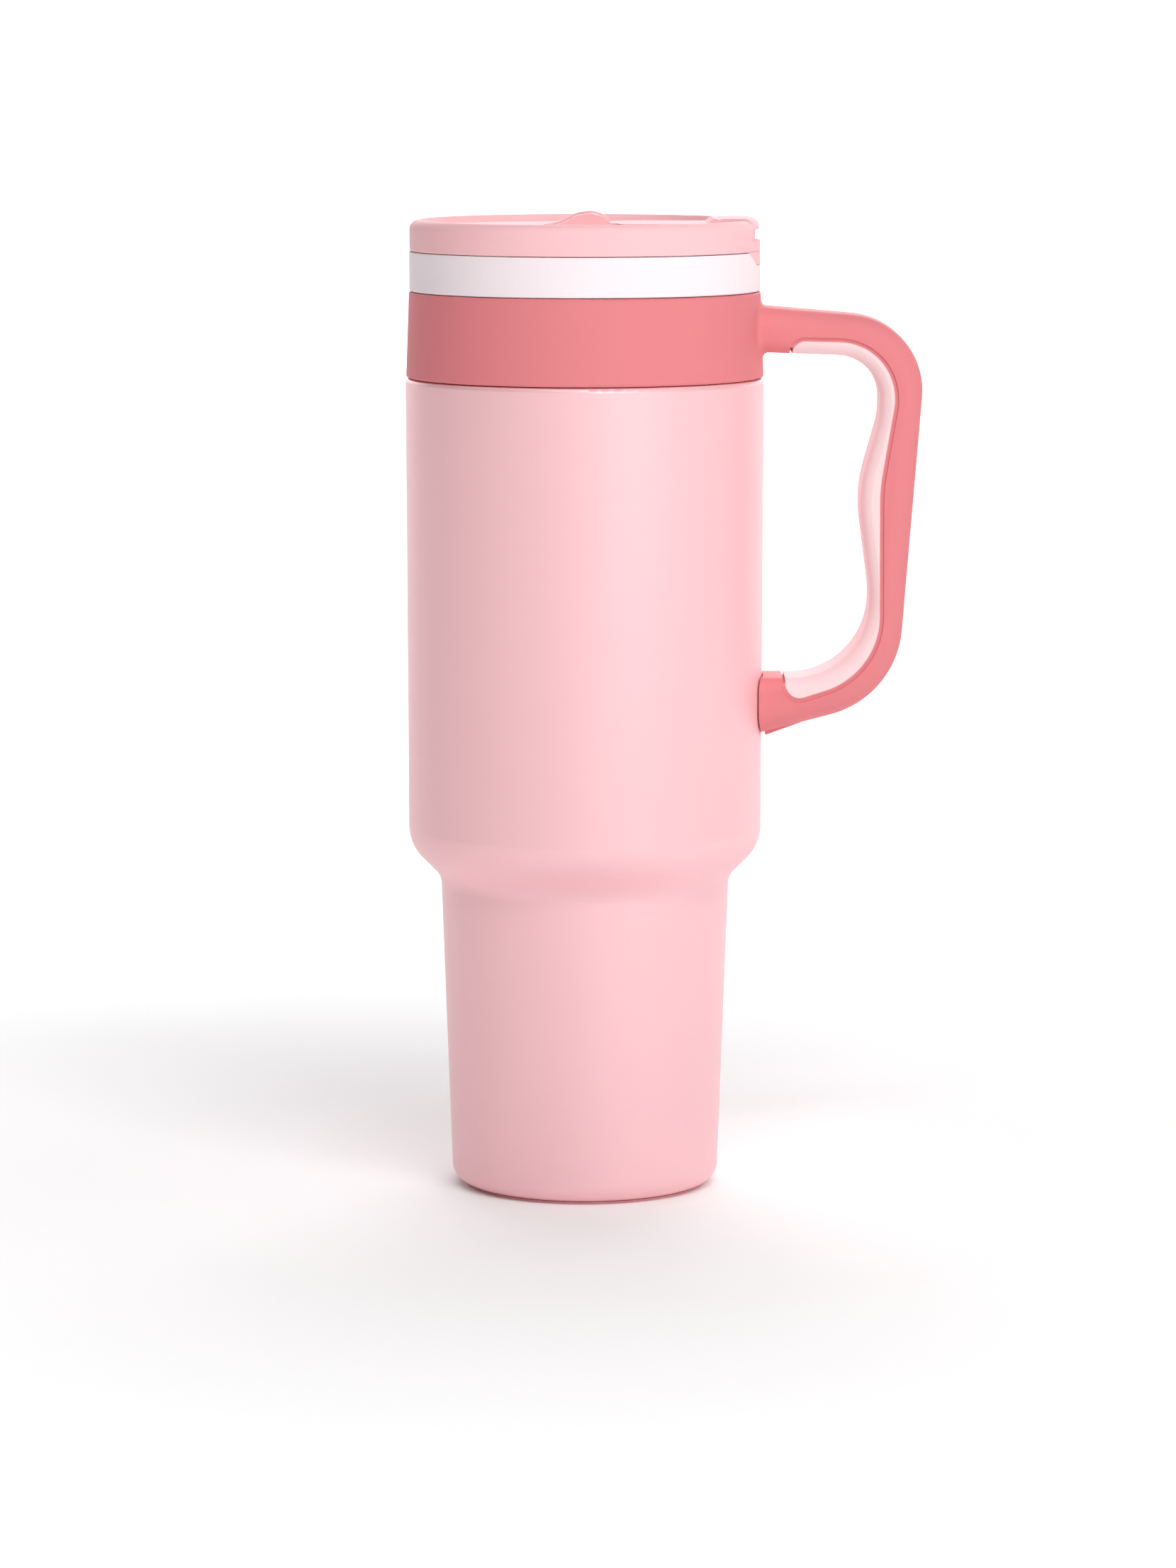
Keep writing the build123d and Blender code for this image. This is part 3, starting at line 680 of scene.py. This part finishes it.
def vent_nib_piece(material):
    """Nib with a flange, for the vent opening."""
    x, outer, low, high = spans("vent_plug")
    corners = [(0, low, 0), (1.0, low, 0.35), (1.0, low + 2.1, 0.2), (outer, low + 2.1, 0.3),
               (outer, high, 0.2), (0, high, 0)]
    turned_piece("vent_nib", corners, material, "vent_plug", "flip_cover", x)


# ---------------------------------------------------------------- studio
def link(name, data):
    """Puts an object with this data into the scene."""
    thing = bpy.data.objects.new(name, data)
    bpy.context.scene.collection.objects.link(thing)
    return thing


def paper_material():
    """Matte white backdrop paper with a faint tooth; it glows as painted light, weakest under the tumbler as
    a painted shadow and brighter away from it and up the wall.
    """
    material, tree, shader = blank_material("backdrop_paper")
    tone = effect(tree, "tone", Colour=(0.93, 0.93, 0.93, 1), Patch_Size=0.4, Amount=0.01)
    peel = effect(tree, "peel", Grain_Size=1.2 * MM)
    tree.links.new(tone.outputs["Colour"], shader.inputs["Base Color"])
    tree.links.new(maths(tree, "ADD", 0.85, maths(tree, "MULTIPLY", peel.outputs["Fleck"], 0.1)),
                   shader.inputs["Roughness"])
    shader.inputs["Specular IOR Level"].default_value = 0.1
    shader.inputs["Emission Strength"].default_value = 1.0
    place = tree.nodes.new("ShaderNodeTexCoord")
    parts = tree.nodes.new("ShaderNodeSeparateXYZ")
    tree.links.new(place.outputs["Object"], parts.inputs[0])
    away = tree.nodes.new("ShaderNodeVectorMath")
    away.operation = "LENGTH"
    tree.links.new(place.outputs["Object"], away.inputs[0])
    # painted light: the paper's glow, low near the tumbler as a painted shadow and growing away from it
    glow = spread(tree, away.outputs["Value"], NEAR_EDGE, ROUND_EDGE, GLOW_NEAR_PAINTED_SHADOW, GLOW_ROUND)
    far = spread(tree, away.outputs["Value"], ROUND_EDGE, FAR_EDGE, 0.0, GLOW_FAR - GLOW_ROUND)
    glow = maths(tree, "ADD", glow, far)
    # painted light that brightens the wall higher up
    high = spread(tree, parts.outputs["Z"], HIGH_FROM, HIGH_FULL, 0.0, GLOW_HIGH)
    tree.links.new(maths(tree, "ADD", glow, high), shader.inputs["Emission Color"])
    return material


def backdrop():
    """Floor that sweeps up into a wall behind the tumbler."""
    half_width, front, bend_start, bend, top = 6.0, -6.0, 5.0, 1.5, 5.0
    profile = [(front, 0.0), (bend_start, 0.0)]
    for step in range(1, BEND_STEPS + 1):
        angle = math.pi / 2 * step / BEND_STEPS
        profile.append((bend_start + bend * math.sin(angle), bend * (1 - math.cos(angle))))
    profile.append((bend_start + bend, top))
    form = bmesh.new()
    left = [form.verts.new((-half_width, y, z)) for y, z in profile]
    right = [form.verts.new((half_width, y, z)) for y, z in profile]
    for index in range(len(profile) - 1):
        form.faces.new((left[index], right[index], right[index + 1], left[index + 1]))
    mesh = bpy.data.meshes.new("backdrop")
    form.to_mesh(mesh)
    form.free()
    mesh.shade_smooth()
    mesh.materials.append(paper_material())
    return link("backdrop", mesh)


def soft_light(name, place, target, width, height, power, colour):
    """Rectangular light at a place, turned to a target."""
    lamp = bpy.data.lights.new(name, "AREA")
    lamp.shape = "RECTANGLE"
    lamp.size = width
    lamp.size_y = height
    lamp.energy = power
    lamp.color = colour
    holder = link(name, lamp)
    holder.location = place
    holder.rotation_euler = (Vector(target) - Vector(place)).to_track_quat("-Z", "Y").to_euler()


def camera(studio):
    """Camera that sees the tumbler from the front and a little above."""
    lens = bpy.data.cameras.new("camera")
    lens.lens = studio.lens
    lens.sensor_width = SENSOR_HEIGHT
    lens.clip_start = 0.05
    lens.clip_end = 50.0
    holder = link("camera", lens)
    holder.location = studio.camera_place
    holder.rotation_euler = (math.pi / 2 - studio.camera_pitch, 0, 0)
    bpy.context.scene.camera = holder


def room_world(studio):
    """White room, brighter on its right side."""
    world = bpy.data.worlds.new("room")
    world.use_nodes = True
    tree = world.node_tree
    place = tree.nodes.new("ShaderNodeTexCoord")
    parts = tree.nodes.new("ShaderNodeSeparateXYZ")
    tree.links.new(place.outputs["Generated"], parts.inputs[0])
    strength = spread(tree, parts.outputs["X"], -0.8, 0.8, studio.sky_left, studio.sky_right)
    tree.links.new(strength, tree.nodes["Background"].inputs["Strength"])
    tree.nodes["Background"].inputs["Color"].default_value = (1, 1, 1, 1)
    return world


# ---------------------------------------------------------------- operators
class TUMBLER_OT_finishes(bpy.types.Operator):
    """Makes the shared effects and every finish; no piece shows them yet"""

    bl_idname = "tumbler.finishes"
    bl_label = "Make finishes"

    def execute(self, context):
        scene = context.scene
        effect.groups = make_effects()
        make_materials(scene.tumbler_colours, scene.tumbler_texture)
        return {"FINISHED"}


class TUMBLER_OT_steel_cup(bpy.types.Operator):
    """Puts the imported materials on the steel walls, base disc, port bead, getter and fixings"""

    bl_idname = "tumbler.steel_cup"
    bl_label = "Steel cup"

    def execute(self, context):
        materials = bpy.data.materials
        finish("outer_shell", materials["body_coat"])
        for node in ("inner_liner", "base_disc", "handle_bracket"):
            finish(node, materials["steel"])
        finish("handle_screw", materials["screw_steel"])
        finish("port_seal", materials["resin"])
        finish("vacuum_getter", materials["getter"])
        return {"FINISHED"}


class TUMBLER_OT_collar_and_handle(bpy.types.Operator):
    """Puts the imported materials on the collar, grip insert, foot cover and mouth ring"""

    bl_idname = "tumbler.collar_and_handle"
    bl_label = "Collar and handle"

    def execute(self, context):
        materials = bpy.data.materials
        for node in ("handle_collar", "foot_cover", "neck_ring"):
            finish(node, materials["plastic_rose"])
        finish("grip_insert", materials["grip_pale"])
        return {"FINISHED"}


class TUMBLER_OT_lid(bpy.types.Operator):
    """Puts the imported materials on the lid's two mouldings, the flip cover and its pin"""

    bl_idname = "tumbler.lid"
    bl_label = "Lid and flip cover"

    def execute(self, context):
        materials = bpy.data.materials
        finish("lid_base", materials["plastic_pale"])
        finish("lid_cap", materials["plastic_pink"])
        finish("flap", materials["plastic_pink"])
        finish("hinge_pin", materials["screw_steel"])
        return {"FINISHED"}


class TUMBLER_OT_seals(bpy.types.Operator):
    """Makes the silicone pad, gasket, washer, duct sleeves, stopper and vent nib"""

    bl_idname = "tumbler.seals"
    bl_label = "Silicone pieces"

    def execute(self, context):
        clear = bpy.data.materials["silicone_clear"]
        base_pad_piece(bpy.data.materials["silicone_rose"])
        lid_gasket_piece(clear)
        neck_seal_piece(clear)
        duct_sleeve_piece("sip_duct_sleeve", "duct_seal", 5.0, clear)
        duct_sleeve_piece("vent_duct_sleeve", "vent_seal", 1.5, clear)
        sip_stopper_piece(clear)
        vent_nib_piece(clear)
        return {"FINISHED"}


class TUMBLER_OT_studio(bpy.types.Operator):
    """Makes the backdrop, the lights and the camera"""

    bl_idname = "tumbler.studio"
    bl_label = "Studio"

    def execute(self, context):
        scene = context.scene
        studio = scene.tumbler_studio
        backdrop()
        middle = (0, 0, (CAD_BOX[0].z + CAD_BOX[1].z) / 2)
        white = (1.0, 1.0, 1.0)
        soft_light("key", (1.15, -2.2, 1.25), middle, 1.7, 1.9, studio.key, white)
        soft_light("back", (0.1, 2.4, 1.25), (0, 0, CAD_BOX[1].z), 2.6, 0.9, studio.back, (0.96, 0.96, 1.0))
        soft_light("strip", (0.35, -1.3, 1.75), middle, 1.4, 0.35, studio.strip, white)
        soft_light("top", (0.2, -0.3, 2.2), (0, 0, 0), 3.0, 3.0, studio.top, white)
        scene.world = room_world(studio)
        scene.view_settings.view_transform = "Standard"
        camera(studio)
        return {"FINISHED"}


OPERATORS = (
    TUMBLER_OT_finishes,
    TUMBLER_OT_steel_cup,
    TUMBLER_OT_collar_and_handle,
    TUMBLER_OT_lid,
    TUMBLER_OT_seals,
    TUMBLER_OT_studio,
)


class TUMBLER_PT_panel(bpy.types.Panel):
    """Sizes, colours and steps of the tumbler"""

    bl_idname = "TUMBLER_PT_panel"
    bl_label = "Tumbler"
    bl_space_type = "VIEW_3D"
    bl_region_type = "UI"
    bl_category = "Tumbler"

    def draw(self, context):
        for holder, group in GROUPS:
            box = self.layout.box()
            for key in group.__annotations__:
                box.prop(getattr(context.scene, holder), key)
        for operator in OPERATORS:
            self.layout.operator(operator.bl_idname)


def register():
    for holder, group in GROUPS:
        bpy.utils.register_class(group)
        setattr(bpy.types.Scene, holder, bpy.props.PointerProperty(type=group))
    for operator in OPERATORS:
        bpy.utils.register_class(operator)
    bpy.utils.register_class(TUMBLER_PT_panel)


def unregister():
    bpy.utils.unregister_class(TUMBLER_PT_panel)
    for operator in reversed(OPERATORS):
        bpy.utils.unregister_class(operator)
    for holder, group in reversed(GROUPS):
        delattr(bpy.types.Scene, holder)
        bpy.utils.unregister_class(group)


def main():
    register()
    bpy.ops.tumbler.finishes()
    bpy.ops.tumbler.steel_cup()
    bpy.ops.tumbler.collar_and_handle()
    bpy.ops.tumbler.lid()
    bpy.ops.tumbler.seals()
    bpy.ops.tumbler.studio()


if __name__ == "__main__":
    main()
